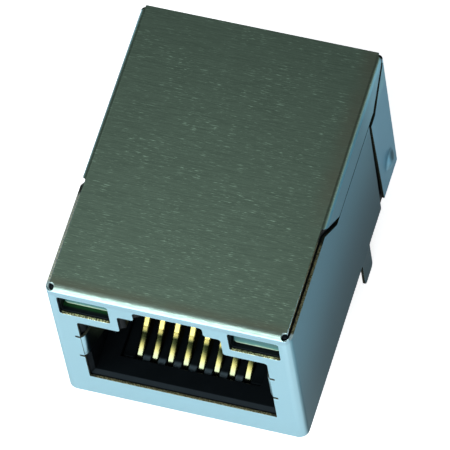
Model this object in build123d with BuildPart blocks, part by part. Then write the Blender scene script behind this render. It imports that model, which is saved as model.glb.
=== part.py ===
"""Shielded board jack for an eight-contact modular plug.

One folded metal shell and one rear cover wrap a moulded housing. The housing holds eight spring
contacts in a carrier, two indicator lights, and a rear chamber with the transformers, the small
circuit board and the solder pins.

Units are millimetres. X runs across the mouth, to the right as the mouth is seen. Y runs from the
mouth to the rear. Z runs up. The origin lies on the customer's board, midway between the two
locating posts.
"""

import os

from build123d import *

os.makedirs("parts", exist_ok=True)

# Shield sheet and its bends
sheet = 0.2
shield_lift = 0.4
corner_bend = 0.65
front_top_bend = 0.6
flap_bend = 0.38
rear_bend = 0.3
relief_hole = 0.46
relief_setback = 0.34
relief_inset = 0.4

# Side walls of the shield: gaps, flaps and rear joint
top_panel_edge = 0.28
side_gap_drop = 0.4
wing_depth = 3.95
flap_start = 8.05
flap_rear_setback = 0.2
flap_depth = 2.37
flap_rear_run = 2.8
flap_gap = 0.46
flap_rear_gap = 0.42
wing_shoulder = 9.78
flap_seam = 0.13
rear_joint_top = 0.36
rear_joint_bottom = 0.75

# Openings in the shield's front face, and the sheet left around them
mouth_bottom = 2.2
mouth_height = 7.1
mouth_side_frame = 1.78
latch_width = 6.7
latch_height = 1.9
notch_width = 4.5
notch_height = 0.98
notch_top_frame = 0.74
mouth_corner = 0.22
window_width = 3.28
window_height = 2.05
window_to_latch = 0.52
window_side_frame = 0.8
window_top_frame = 0.72
window_corner = 0.2

# Spring fingers beside the mouth
finger_height = 2.28
finger_bottom = 4.96
finger_slot = 0.22
finger_slot_reach = 0.34
finger_inset = 0.08
finger_bend = 0.36
finger_length = 3.4
finger_crest = 2.2
finger_bow = 0.54
finger_tip_return = 0.28

# Solder legs of the shield
leg_width = 1.65
leg_length = 3.3
leg_behind_posts = 3.05
leg_joggle = 0.15
leg_joggle_drop = 0.4
leg_tip_corner = 0.35

# Dimples on the wings of the rear cover
dimple_width = 1.7
dimple_height = 0.3
dimple_from_rear = 1.6
dimple_up = 2.3

# Housing
housing_clearance = 0.05
cavity_side_step = 0.27
cavity_roof_drop = 0.09
cavity_depth = 13.0
cavity_back_wall = 0.8
mouth_chamfer = 0.26
front_wall = 1.5
latch_chamber_roof = 0.57
latch_chamber_depth = 9.0
finger_pocket_depth = 0.55
finger_pocket_length = 4.6
finger_pocket_margin = 0.25
rear_chamber_wall = 0.6
rear_chamber_roof = 0.6
floor_skin = 0.5

# Locating posts
post_diameter = 3.1
post_spacing = 11.43
post_length = 3.2
post_chamfer = 0.45
post_taper = 0.85

# Contacts, with heights above the shield's lower edge
contact_count = 8
contact_pitch = 1.02
contact_width = 0.44
contact_thickness = 0.2
contact_run_height = 1.45
contact_nose_y = 1.24
contact_nose_radius = 0.3
contact_knee_y = 3.6
contact_knee_z = 2.68
contact_shoulder_to_comb = 2.6
contact_shoulder_z = 5.8
contact_tip_overlap = 0.6
contact_tip_z = 6.25
contact_bend = 0.6
contact_tail_gap = 0.8
contact_tail_stub = 0.3

# Contact carrier
carrier_side = 0.81
carrier_front = 1.8
carrier_bottom = 0.16
carrier_top = 2.15
carrier_tail_cover = 0.5
carrier_fit = 0.05
carrier_slot_fit = 0.04
carrier_nose_round = 0.34
comb_reach = 2.0
comb_slot_depth = 1.0
comb_to_board = 0.1

# Internal circuit board
board_thickness = 0.8
board_height = 7.0
board_front_gap = 0.1
board_side_inset = 0.25
board_rear_inset = 0.3
contact_hole = 0.74
lead_hole = 0.8

# Magnetics case: a tub below the internal board
case_front_gap = 0.07
case_side_gap = 0.15
case_rear_gap = 0.15
case_lift = 0.1
case_floor = 1.6
case_front_wall = 0.83
case_side_wall = 0.85
case_rear_wall = 0.6
case_corner = 0.3
rib_width = 1.3
rib_height = 1.1

# Signal pins
pin_count = 8
pin_pitch = 1.27
pin_size = 0.5
pin_length = 3.2
pin_tip_chamfer = 0.12
pin_stub = 0.8
pin_behind_posts = 6.35
pin_row_spacing = 2.54
pin_case_front = 2.08
pin_case_rear = 0.91

# Indicator lights and their leads
light_side_gap = 0.115
light_lift = 0.12
light_top_gap = 0.08
light_setbacks = (0.7, 0.52)
light_end = 5.7
light_corner = 0.28
light_edge = 0.15
light_fit = 0.06
lead_size = 0.45
lead_pitch = 1.27
lead_rise = 0.93
lead_case_front = 0.23
lead_bend = 0.5
lead_length = 3.2
lead_fit = 0.06

# Transformer and choke rings
ring_count = 4
ring_inner = 1.15
ring_height = 1.5
ring_gap = 0.23
ring_end_gap = 0.315
ring_fit = 0.02
winding_thickness = 0.26
winding_span = 250.0

# Components on the internal board
capacitor_length = 4.6
capacitor_width = 2.0
capacitor_height = 1.5
resistor_count = 4
resistor_length = 1.6
resistor_width = 0.8
resistor_height = 0.45
resistor_pitch = 1.9
component_edge = 0.08

# Sizes of the front face, from the openings and the sheet left around them
window_centre = latch_width / 2 + window_to_latch + window_width / 2
shield_width = 2 * (window_centre + window_width / 2 + window_side_frame)
mouth_width = shield_width - 2 * mouth_side_frame
shield_height = mouth_bottom + mouth_height + latch_height + notch_height + notch_top_frame
window_bottom = shield_height - window_top_frame - window_height
side_wall_height = shield_height - side_gap_drop

# Sizes inside the housing, from the mouth
cavity_width = mouth_width - 2 * cavity_side_step
cavity_floor = mouth_bottom + mouth_chamfer
cavity_height = mouth_bottom + mouth_height - cavity_roof_drop - cavity_floor
latch_chamber_top = shield_height - sheet - housing_clearance - latch_chamber_roof
light_width = window_width - 2 * light_side_gap
light_height = window_height - light_lift - light_top_gap
light_bottom = window_bottom + light_lift
lead_height = light_bottom + lead_rise

# Distances behind the mouth, from the plug cavity to the rear
comb_front = cavity_depth - comb_reach
contact_shoulder_y = comb_front - contact_shoulder_to_comb
contact_tip_y = comb_front + contact_tip_overlap
contact_tail_y = cavity_depth + cavity_back_wall + contact_tail_gap
carrier_back = contact_tail_y + carrier_tail_cover
board_front = cavity_depth + cavity_back_wall + board_front_gap
case_front = carrier_back + case_front_gap
case_back = case_front + pin_case_front + pin_row_spacing + pin_case_rear
board_back = case_back - board_rear_inset
lead_down = case_front + lead_case_front
shield_depth = case_back + case_rear_gap + housing_clearance + sheet
side_wall_depth = shield_depth - wing_depth
flap_end = shield_depth - flap_rear_setback
front_to_posts = case_front + pin_case_front - pin_behind_posts

# Widths and heights of the parts behind and below the cavity
carrier_width = (contact_count - 1) * contact_pitch + contact_width + 2 * carrier_side
case_width = shield_width - 2 * (sheet + housing_clearance + rear_chamber_wall + case_side_gap)
board_width = case_width - 2 * board_side_inset
comb_top = board_height - comb_to_board
contact_tail_end = board_height + board_thickness + contact_tail_stub
case_inner_half = case_width / 2 - case_side_wall
ring_pitch = (2 * (case_inner_half - ring_end_gap) + ring_gap) / ring_count
ring_outer = ring_pitch - ring_gap - 2 * winding_thickness

# Places worked out from the sizes above
half_width = shield_width / 2
mouth_y = -front_to_posts
rear_y = mouth_y + shield_depth
low_z = shield_lift
top_z = shield_lift + shield_height
inside_top_z = top_z - sheet
inside_rear_y = rear_y - sheet
overcut = 1.0
hands = (-1, 1)
diagonal = 2 ** 0.5


def behind_mouth(distance):
    """Return the Y of a point that lies a distance behind the shield's front face."""
    return mouth_y + distance


def above_edge(height):
    """Return the Z of a point that lies a height above the shield's lower edge."""
    return low_z + height


def side_profile(points, x):
    """Draw a closed outline in side view, from distances behind the mouth and heights."""
    with BuildSketch(Plane.YZ.offset(x)) as profile:
        with BuildLine():
            Polyline(*[(behind_mouth(y), above_edge(z)) for y, z in points], close=True)
        make_face()
    return profile.sketch


def box_between(x_low, x_high, y_low, y_high, z_low, z_high, mode=Mode.ADD):
    """Add or cut a box given by its corners."""
    middle = ((x_low + x_high) / 2, (y_low + y_high) / 2, (z_low + z_high) / 2)
    with Locations(middle):
        Box(x_high - x_low, y_high - y_low, z_high - z_low, mode=mode)


def wrapped_block(inset, bottom, rear):
    """Make the block that the front shell wraps: the meeting of its plan, side and end views."""
    half = half_width - inset
    front = mouth_y + inset
    top = top_z - inset
    with BuildPart() as block:
        with BuildSketch(Plane.XY.offset(bottom)) as plan:
            with BuildLine():
                Polyline((-half, front), (half, front), (half, rear), (-half, rear), close=True)
            make_face()
            fillet(plan.vertices().group_by(Axis.Y)[0], radius=corner_bend - inset)
        extrude(amount=top - bottom)
        with BuildSketch(Plane.YZ) as side:
            with BuildLine():
                Polyline((front, bottom), (rear, bottom), (rear, top), (front, top), close=True)
            make_face()
            fillet(side.vertices().group_by(Axis.Y)[-1].sort_by(Axis.X)[0], radius=front_top_bend - inset)
        extrude(amount=half, both=True, mode=Mode.INTERSECT)
        with BuildSketch(Plane.XZ.offset(-front)) as end:
            with BuildLine():
                Polyline((-half, bottom), (half, bottom), (half, top), (-half, top), close=True)
            make_face()
            fillet(end.vertices().group_by(Axis.Y)[-1], radius=flap_bend - inset)
        extrude(amount=front - rear, mode=Mode.INTERSECT)
    return block.part


def mouth_outline(setback, inset, corner):
    """Draw the stepped mouth: wide for the plug, narrower for its latch, narrowest at the top."""
    step = above_edge(mouth_bottom + mouth_height) - inset
    heights = (above_edge(mouth_bottom) + inset, step, step + latch_height)
    heights += (step + latch_height + notch_height,)
    widths = (mouth_width, latch_width, notch_width)
    right = []
    for width, low, high in zip(widths, heights, heights[1:]):
        right += [(width / 2 - inset, low), (width / 2 - inset, high)]
    left = [(-x, z) for x, z in reversed(right)]
    with BuildSketch(Plane.XZ.offset(-mouth_y - setback)) as outline:
        with BuildLine():
            Polyline(*(right + left), close=True)
        make_face()
        if corner > 0:
            fillet(outline.vertices().filter_by(
                lambda vertex: vertex.Y > above_edge(mouth_bottom) + corner), radius=corner)
    return outline.sketch


# Front shell: one sheet folded into its front, top, side walls and top flaps
flap_low = shield_height - flap_depth
wall_top_at_flap = flap_low - flap_seam
wall_slope_start = flap_start + shield_height - side_wall_height - flap_gap * diagonal
wall_slope_end = wall_slope_start + side_wall_height - wall_top_at_flap
rear_slope = flap_depth / flap_rear_run
side_gap = [
    (relief_setback, side_wall_height),
    (wall_slope_start, side_wall_height),
    (wall_slope_end, wall_top_at_flap),
    (side_wall_depth, wall_top_at_flap),
    (side_wall_depth, -overcut),
    (shield_depth + overcut, -overcut),
    (shield_depth + overcut, shield_height + rear_slope * (shield_depth + overcut - flap_end)),
    (flap_end - flap_rear_run, flap_low),
    (flap_start + flap_depth, flap_low),
    (flap_start - overcut, shield_height + overcut),
    (relief_setback, shield_height + overcut),
]
finger_x = mouth_width / 2 - finger_inset

with BuildPart() as shield_shell:
    add(wrapped_block(0.0, low_z, rear_y))
    add(wrapped_block(sheet, low_z - overcut, rear_y + overcut), mode=Mode.SUBTRACT)
    extrude(mouth_outline(0.0, 0.0, mouth_corner), amount=-sheet - overcut, mode=Mode.SUBTRACT)
    for hand in hands:
        gap_profile = side_profile(side_gap, hand * (half_width - top_panel_edge))
        extrude(gap_profile, amount=hand * overcut, mode=Mode.SUBTRACT)
        # Round relief where the top, front and side bends would meet
        with BuildSketch(Plane.XY.offset(above_edge(side_wall_height))):
            with Locations((hand * (half_width - relief_inset), behind_mouth(relief_setback))):
                Circle(relief_hole / 2)
        extrude(amount=overcut, mode=Mode.SUBTRACT)
        # Window for the indicator light
        with BuildSketch(Plane.XZ.offset(-mouth_y)):
            with Locations((hand * window_centre, above_edge(window_bottom + window_height / 2))):
                RectangleRounded(window_width, window_height, window_corner)
        extrude(amount=-sheet - overcut, mode=Mode.SUBTRACT)
        # Slots above and below the spring finger
        for height in (finger_bottom - finger_slot / 2, finger_bottom + finger_height + finger_slot / 2):
            with BuildSketch(Plane.XZ.offset(-mouth_y)):
                with Locations((hand * mouth_width / 2, above_edge(height))):
                    SlotOverall(finger_slot_reach * 2, finger_slot)
            extrude(amount=-sheet, mode=Mode.SUBTRACT)
        # Spring finger, bent back into the mouth and bowed towards the plug
        with BuildSketch(Plane.XY.offset(above_edge(finger_bottom))):
            with BuildLine():
                FilletPolyline(
                    (hand * (mouth_width / 2 + finger_slot_reach), behind_mouth(sheet / 2)),
                    (hand * finger_x, behind_mouth(sheet / 2)),
                    (hand * (finger_x - finger_bow), behind_mouth(finger_crest)),
                    (hand * (finger_x - finger_bow + finger_tip_return), behind_mouth(finger_length)),
                    radius=finger_bend,
                )
            trace(line_width=sheet)
        extrude(amount=finger_height)
        # Solder leg, set in from the wall by a small joggle
        leg_x = half_width - sheet / 2
        with BuildSketch(Plane.XZ.offset(-leg_behind_posts - leg_width / 2)):
            with BuildLine():
                Polyline(
                    (hand * leg_x, low_z),
                    (hand * (leg_x - leg_joggle), low_z - leg_joggle_drop),
                    (hand * (leg_x - leg_joggle), low_z - leg_length),
                )
            trace(line_width=sheet)
        extrude(amount=leg_width)
    tips = shield_shell.edges().filter_by(Axis.X).group_by(Axis.Z)[0]
    fillet(tips, radius=leg_tip_corner)
shield_shell.part.label = "shield_shell"
export_step(shield_shell.part, "parts/shield_shell.step")


# Rear cover: a back panel with a wing folded forward on each side, and a pressed dimple on each
wing_rear = shield_depth - rear_bend
wing_rear_top = shield_height + rear_slope * (wing_rear - flap_end) - flap_rear_gap * diagonal
wing_outline = [
    (side_wall_depth + rear_joint_bottom, 0.0),
    (side_wall_depth + rear_joint_top, wing_shoulder),
    (wing_rear - (wing_rear_top - wing_shoulder), wing_shoulder),
    (wing_rear, wing_rear_top),
    (wing_rear, shield_height - sheet - housing_clearance),
    (shield_depth, shield_height - sheet - housing_clearance),
    (shield_depth, 0.0),
]
dimple_y = rear_y - dimple_from_rear

with BuildPart() as rear_shield:
    with BuildSketch(Plane.XY.offset(low_z)) as cover_plan:
        with BuildLine():
            Polyline(
                (-half_width, behind_mouth(side_wall_depth)),
                (half_width, behind_mouth(side_wall_depth)),
                (half_width, rear_y),
                (-half_width, rear_y),
                close=True,
            )
        make_face()
        fillet(cover_plan.vertices().group_by(Axis.Y)[-1], radius=rear_bend)
    extrude(amount=shield_height)
    with BuildSketch(Plane.XY.offset(low_z)) as cover_inside:
        with BuildLine():
            Polyline(
                (sheet - half_width, behind_mouth(side_wall_depth - overcut)),
                (half_width - sheet, behind_mouth(side_wall_depth - overcut)),
                (half_width - sheet, inside_rear_y),
                (sheet - half_width, inside_rear_y),
                close=True,
            )
        make_face()
        fillet(cover_inside.vertices().group_by(Axis.Y)[-1], radius=rear_bend - sheet)
    extrude(amount=shield_height, mode=Mode.SUBTRACT)
    extrude(side_profile(wing_outline, 0.0), amount=half_width, both=True, mode=Mode.INTERSECT)
    for hand in hands:
        for lift, rim, mode in ((0.0, 0.0, Mode.ADD), (sheet, sheet, Mode.SUBTRACT)):
            with BuildSketch(Plane.XY.offset(above_edge(dimple_up))):
                with BuildLine():
                    ThreePointArc(
                        (hand * (half_width - rim), dimple_y - dimple_width / 2),
                        (hand * (half_width + dimple_height - lift), dimple_y),
                        (hand * (half_width - rim), dimple_y + dimple_width / 2),
                    )
                    Line(
                        (hand * (half_width - rim), dimple_y + dimple_width / 2),
                        (hand * (half_width - rim), dimple_y - dimple_width / 2),
                    )
                make_face()
                split(bisect_by=Plane.XZ.offset(-dimple_y), keep=Keep.TOP)
            revolve(
                axis=Axis((0, dimple_y, above_edge(dimple_up)), (1, 0, 0)),
                revolution_arc=360,
                mode=mode,
            )
rear_shield.part.label = "rear_shield"
export_step(rear_shield.part, "parts/rear_shield.step")

# Housing: plug cavity, latch chamber, pockets for the lights, rear chamber and locating posts
housing_half = half_width - sheet - housing_clearance
housing_back = inside_rear_y - housing_clearance
housing_top = inside_top_z - housing_clearance
floor_z = above_edge(cavity_floor)
cavity_top_z = floor_z + cavity_height
chamber_front = behind_mouth(cavity_depth + cavity_back_wall)
pocket_half = light_width / 2 + light_fit
pocket_low = above_edge(light_bottom) - light_fit
pocket_high = above_edge(light_bottom + light_height) + light_fit
light_back = behind_mouth(light_end)
carrier_half = carrier_width / 2
lead_offsets = (-lead_pitch / 2, lead_pitch / 2)
groove_half = lead_size / 2 + lead_fit

with BuildPart() as housing:
    add(wrapped_block(sheet + housing_clearance, 0.0, housing_back))
    fillet(housing.edges().filter_by(Axis.Z).group_by(Axis.Y)[-1],
           radius=rear_bend - sheet - housing_clearance)
    # Stepped mouth through the front wall, chamfered all round
    extrude(mouth_outline(0.0, mouth_chamfer, 0.0), amount=-front_wall - overcut, mode=Mode.SUBTRACT)
    extrude(mouth_outline(sheet + housing_clearance, 0.0, 0.0), amount=-mouth_chamfer, taper=45,
            mode=Mode.SUBTRACT)
    # Plug cavity and the latch chamber above it
    box_between(-cavity_width / 2, cavity_width / 2, behind_mouth(front_wall),
                behind_mouth(cavity_depth), floor_z, cavity_top_z, Mode.SUBTRACT)
    box_between(-latch_width / 2, latch_width / 2, behind_mouth(front_wall),
                behind_mouth(latch_chamber_depth), floor_z, above_edge(latch_chamber_top), Mode.SUBTRACT)
    # Rear chamber, open below and behind
    box_between(rear_chamber_wall - housing_half, housing_half - rear_chamber_wall, chamber_front,
                housing_back + overcut, -overcut, housing_top - rear_chamber_roof, Mode.SUBTRACT)
    # Slot for the contact carrier, through the floor and the cavity's back wall
    slot_side = carrier_half + carrier_fit
    box_between(-slot_side, slot_side, behind_mouth(carrier_front) - carrier_fit, chamber_front,
                floor_skin, floor_z, Mode.SUBTRACT)
    box_between(-slot_side, slot_side, behind_mouth(comb_front), chamber_front,
                floor_z, above_edge(comb_top) + carrier_fit, Mode.SUBTRACT)
    for hand in hands:
        # Pocket for the indicator light and the grooves that its leads lie in
        centre = hand * window_centre
        box_between(centre - pocket_half, centre + pocket_half, mouth_y, light_back,
                    pocket_low, pocket_high, Mode.SUBTRACT)
        for offset in lead_offsets:
            box_between(centre + offset - groove_half, centre + offset + groove_half, light_back,
                        chamber_front, above_edge(lead_height) - groove_half,
                        housing_top + overcut, Mode.SUBTRACT)
        # Recess behind the spring finger
        recess_x = hand * cavity_width / 2
        recess_low = above_edge(finger_bottom - finger_pocket_margin)
        recess_high = above_edge(finger_bottom + finger_height + finger_pocket_margin)
        outer_x = recess_x + hand * finger_pocket_depth
        recess_xs = sorted((recess_x, outer_x))
        box_between(recess_xs[0], recess_xs[1], mouth_y, behind_mouth(finger_pocket_length),
                    recess_low, recess_high, Mode.SUBTRACT)
        # Relief beside the joggled solder leg
        relief_inner = half_width - sheet - leg_joggle - housing_clearance
        relief_half = leg_width / 2 + housing_clearance
        relief_xs = sorted((hand * relief_inner, hand * half_width))
        box_between(relief_xs[0], relief_xs[1], leg_behind_posts - relief_half,
                    leg_behind_posts + relief_half, -overcut, low_z + housing_clearance, Mode.SUBTRACT)
        # Locating post with a tapered tip
        post_x = hand * post_spacing / 2
        with BuildSketch(Plane.XZ):
            with BuildLine():
                Polyline(
                    (post_x, 0),
                    (post_x + post_diameter / 2, 0),
                    (post_x + post_diameter / 2, post_taper - post_length),
                    (post_x + post_diameter / 2 - post_chamfer, -post_length),
                    (post_x, -post_length),
                    close=True,
                )
            make_face()
        revolve(axis=Axis((post_x, 0, 0), (0, 0, 1)), revolution_arc=360)
housing.part.label = "housing"
export_step(housing.part, "parts/housing.step")

# Contact carrier: a base under the plug cavity with a comb in front, and a tower behind
contact_xs = [(index - (contact_count - 1) / 2) * contact_pitch for index in range(contact_count)]
slot_half = contact_width / 2 + carrier_slot_fit
slot_low = above_edge(contact_run_height) - contact_thickness / 2 - carrier_slot_fit
slot_high = above_edge(contact_run_height) + contact_thickness / 2 + carrier_slot_fit
tail_front = behind_mouth(contact_tail_y) - contact_thickness / 2 - carrier_slot_fit

with BuildPart() as contact_carrier:
    box_between(-carrier_half, carrier_half, behind_mouth(carrier_front), behind_mouth(carrier_back),
                above_edge(carrier_bottom), above_edge(carrier_top))
    box_between(-carrier_half, carrier_half, behind_mouth(comb_front), behind_mouth(carrier_back),
                above_edge(carrier_top), above_edge(comb_top))
    nose_edge = contact_carrier.edges().filter_by(Axis.X).group_by(Axis.Y)[0].sort_by(Axis.Z)[-1]
    fillet(nose_edge, radius=carrier_nose_round)
    for x in contact_xs:
        # Slot for the lower run, open above until the tower
        box_between(x - slot_half, x + slot_half, behind_mouth(carrier_front - overcut),
                    behind_mouth(comb_front), slot_low, above_edge(carrier_top + overcut), Mode.SUBTRACT)
        # Passage under the tower and the groove for the tail behind it
        box_between(x - slot_half, x + slot_half, behind_mouth(comb_front),
                    behind_mouth(carrier_back + overcut), slot_low, slot_high, Mode.SUBTRACT)
        box_between(x - slot_half, x + slot_half, tail_front - contact_bend,
                    behind_mouth(carrier_back + overcut), slot_low, slot_high + contact_bend,
                    Mode.SUBTRACT)
        box_between(x - slot_half, x + slot_half, tail_front, behind_mouth(carrier_back + overcut),
                    slot_low, above_edge(comb_top + overcut), Mode.SUBTRACT)
        # Slot that guides the free end of the spring
        box_between(x - slot_half, x + slot_half, behind_mouth(comb_front - overcut),
                    behind_mouth(comb_front + comb_slot_depth), above_edge(carrier_top),
                    above_edge(comb_top + overcut), Mode.SUBTRACT)
contact_carrier.part.label = "contact_carrier"
export_step(contact_carrier.part, "parts/contact_carrier.step")

# Contacts: formed strips that run forward under the cavity, turn back at the mouth and rise
contact_path = [
    (contact_tail_y, contact_tail_end),
    (contact_tail_y, contact_run_height),
    (contact_nose_y, contact_run_height),
    (contact_knee_y, contact_knee_z),
    (contact_shoulder_y, contact_shoulder_z),
    (contact_tip_y, contact_tip_z),
]
contact_radii = (contact_bend, contact_nose_radius, contact_bend, contact_bend)
for index, x in enumerate(contact_xs, start=1):
    with BuildPart() as contact:
        with BuildSketch(Plane.YZ.offset(x - contact_width / 2)):
            with BuildLine():
                FilletPolyline(*[(behind_mouth(y), above_edge(z)) for y, z in contact_path],
                               radius=contact_radii)
            trace(line_width=contact_thickness)
        extrude(amount=contact_width)
    contact.part.label = f"contact_{index}"
    export_step(contact.part, f"parts/contact_{index}.step")

# Internal circuit board, drilled for the contacts and for the leads of the lights
board_bottom_z = above_edge(board_height)
board_top_z = board_bottom_z + board_thickness
tail_y = behind_mouth(contact_tail_y)
lead_y = behind_mouth(lead_down)
lead_xs = [hand * window_centre + offset for hand in hands for offset in lead_offsets]
pin_rows = (pin_behind_posts, pin_behind_posts + pin_row_spacing)
pin_places = [
    ((index - (pin_count - 1) / 2) * pin_pitch, pin_rows[index % 2]) for index in range(pin_count)
]

with BuildPart() as circuit_board:
    box_between(-board_width / 2, board_width / 2, behind_mouth(board_front), behind_mouth(board_back),
                board_bottom_z, board_top_z)
    with BuildSketch(Plane.XY.offset(board_bottom_z)):
        with Locations(*[(x, tail_y) for x in contact_xs]):
            Circle(contact_hole / 2)
        with Locations(*[(x, lead_y) for x in lead_xs]):
            Circle(lead_hole / 2)
    extrude(amount=board_thickness, mode=Mode.SUBTRACT)
circuit_board.part.label = "circuit_board"
export_step(circuit_board.part, "parts/circuit_board.step")

# Magnetics case: a tub that carries the pins in its floor and the circuit board on its rim
case_floor_z = case_lift + case_floor
case_inner_front = behind_mouth(case_front + case_front_wall)
case_inner_back = behind_mouth(case_back - case_rear_wall)
ring_y = (case_inner_front + case_inner_back) / 2
rib_top_z = case_floor_z + rib_height

with BuildPart() as magnetics_case:
    box_between(-case_width / 2, case_width / 2, behind_mouth(case_front), behind_mouth(case_back),
                case_lift, board_bottom_z)
    fillet(magnetics_case.edges().filter_by(Axis.Z), radius=case_corner)
    box_between(-case_inner_half, case_inner_half, case_inner_front, case_inner_back,
                case_floor_z, board_bottom_z + overcut, Mode.SUBTRACT)
    box_between(-case_inner_half, case_inner_half, ring_y - rib_width / 2, ring_y + rib_width / 2,
                case_floor_z, rib_top_z)
    with BuildSketch(Plane.XY.offset(case_lift - overcut)):
        with Locations(*pin_places):
            Rectangle(pin_size, pin_size)
    extrude(amount=case_floor + 2 * overcut, mode=Mode.SUBTRACT)
    for x in lead_xs:
        box_between(x - groove_half, x + groove_half, behind_mouth(case_front - overcut),
                    lead_y + groove_half, case_lift - overcut, board_bottom_z + overcut, Mode.SUBTRACT)
magnetics_case.part.label = "magnetics_case"
export_step(magnetics_case.part, "parts/magnetics_case.step")

# Signal pins: square posts, their upper ends standing above the case floor for the windings' wires
for index, (x, y) in enumerate(pin_places, start=1):
    with BuildPart() as pin:
        box_between(x - pin_size / 2, x + pin_size / 2, y - pin_size / 2, y + pin_size / 2,
                    -pin_length, case_floor_z + pin_stub)
        chamfer(pin.faces().sort_by(Axis.Z)[0].edges(), length=pin_tip_chamfer)
    pin.part.label = f"pin_{index}"
    export_step(pin.part, f"parts/pin_{index}.step")

# Indicator lights: moulded blocks, each with a rounded front
for name, hand, setback in zip(("left", "right"), hands, light_setbacks):
    centre = hand * window_centre
    with BuildPart() as light:
        box_between(centre - light_width / 2, centre + light_width / 2, behind_mouth(setback),
                    light_back, above_edge(light_bottom), above_edge(light_bottom + light_height))
        fillet(light.edges().filter_by(Axis.Y), radius=light_corner)
        fillet(light.faces().sort_by(Axis.Y)[0].edges(), radius=light_edge)
    light.part.label = f"led_{name}"
    export_step(light.part, f"parts/led_{name}.step")

# Leads of the lights: square wires that run back over the cavity and down to the board
for index, x in enumerate(lead_xs, start=1):
    with BuildPart() as lead:
        with BuildSketch(Plane.YZ.offset(x - lead_size / 2)):
            with BuildLine():
                FilletPolyline(
                    (light_back, above_edge(lead_height)),
                    (lead_y, above_edge(lead_height)),
                    (lead_y, -lead_length),
                    radius=lead_bend,
                )
            trace(line_width=lead_size)
        extrude(amount=lead_size)
    lead.part.label = f"led_lead_{index}"
    export_step(lead.part, f"parts/led_lead_{index}.step")

# Ferrite rings with their windings, seated on the rib of the case
ring_xs = [(index - (ring_count - 1) / 2) * ring_pitch for index in range(ring_count)]
ring_z = rib_top_z + winding_thickness
band = (ring_outer - ring_inner) / 2
for index, x in enumerate(ring_xs, start=1):
    axis = Axis((x, ring_y, 0), (0, 0, 1))
    section_centre = (x + (ring_inner + band) / 2, ring_z + ring_height / 2)
    with BuildPart() as core:
        with BuildSketch(Plane.XZ.offset(-ring_y)):
            with Locations(section_centre):
                Rectangle(band, ring_height)
        revolve(axis=axis, revolution_arc=360)
    core.part.label = f"ferrite_ring_{index}"
    export_step(core.part, f"parts/ferrite_ring_{index}.step")
    with BuildPart() as winding:
        with BuildSketch(Plane.XZ.offset(-ring_y)):
            with Locations(section_centre):
                Rectangle(band + 2 * winding_thickness, ring_height + 2 * winding_thickness)
                Rectangle(band + 2 * ring_fit, ring_height + 2 * ring_fit, mode=Mode.SUBTRACT)
        revolve(axis=axis, revolution_arc=winding_span)
    winding.part.label = f"winding_{index}"
    export_step(winding.part, f"parts/winding_{index}.step")

# Components on the internal board: one high-voltage capacitor and the termination resistors
component_y = (lead_y + behind_mouth(board_back)) / 2
with BuildPart() as capacitor:
    box_between(-capacitor_length / 2, capacitor_length / 2, component_y - capacitor_width / 2,
                component_y + capacitor_width / 2, board_top_z, board_top_z + capacitor_height)
    chamfer(capacitor.edges().filter_by(Axis.Z), length=component_edge)
capacitor.part.label = "line_capacitor"
export_step(capacitor.part, "parts/line_capacitor.step")

for index in range(resistor_count):
    hand = 1 if index % 2 else -1
    step = index // 2
    x = hand * (capacitor_length / 2 + resistor_pitch)
    y = component_y + (step - 0.5) * resistor_pitch
    with BuildPart() as resistor:
        box_between(x - resistor_length / 2, x + resistor_length / 2, y - resistor_width / 2,
                    y + resistor_width / 2, board_top_z, board_top_z + resistor_height)
        chamfer(resistor.edges().filter_by(Axis.Z), length=component_edge)
    resistor.part.label = f"resistor_{index + 1}"
    export_step(resistor.part, f"parts/resistor_{index + 1}.step")
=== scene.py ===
"""Finishes of a shielded board jack, laid out as an add-on.

Every piece sits where its node of the packed model sits, in metres. X runs across the mouth, Y from
the mouth to the rear, Z up from the board.
"""

import math

import bmesh
import bpy
from mathutils import Matrix, Vector
from mathutils.bvhtree import BVHTree


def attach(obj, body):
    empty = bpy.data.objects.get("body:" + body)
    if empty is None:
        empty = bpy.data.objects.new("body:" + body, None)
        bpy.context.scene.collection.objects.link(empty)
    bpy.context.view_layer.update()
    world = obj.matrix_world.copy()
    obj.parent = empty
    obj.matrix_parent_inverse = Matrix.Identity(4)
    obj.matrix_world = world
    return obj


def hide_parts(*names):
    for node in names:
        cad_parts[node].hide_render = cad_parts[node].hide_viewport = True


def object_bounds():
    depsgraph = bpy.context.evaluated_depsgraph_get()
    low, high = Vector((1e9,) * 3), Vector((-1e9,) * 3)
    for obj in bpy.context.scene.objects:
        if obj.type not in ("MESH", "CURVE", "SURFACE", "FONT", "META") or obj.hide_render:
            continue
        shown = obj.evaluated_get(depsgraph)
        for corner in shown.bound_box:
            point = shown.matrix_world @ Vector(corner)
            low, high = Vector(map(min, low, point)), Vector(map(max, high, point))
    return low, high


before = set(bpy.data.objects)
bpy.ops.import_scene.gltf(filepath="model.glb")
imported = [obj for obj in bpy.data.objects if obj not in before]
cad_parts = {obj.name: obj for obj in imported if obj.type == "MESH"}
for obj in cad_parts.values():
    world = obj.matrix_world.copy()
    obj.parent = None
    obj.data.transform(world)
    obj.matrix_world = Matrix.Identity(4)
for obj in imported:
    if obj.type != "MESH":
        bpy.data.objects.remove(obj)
cad_low, cad_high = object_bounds()

bl_info = {
    "name": "Board jack finishes",
    "version": (1, 0, 0),
    "blender": (4, 5, 0),
    "location": "View3D > Sidebar > Board jack",
    "description": "Dresses the packed board jack with its sheet metal, plastics, contacts and lights",
    "category": "Object",
}

MM = 0.001
BODY = "root"
WHITE = (1.0, 1.0, 1.0)
WELD_REACH = 0.0005 * MM
FLAT_TURN = math.radians(0.6)
SHARP_TURN = math.radians(50)
WIRE_TURN = math.radians(70)
MOULDED_TURN = math.radians(30)


# Node trees

def colour_of(rgb):
    """Return a colour with its alpha."""
    return (rgb[0], rgb[1], rgb[2], 1.0)


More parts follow.
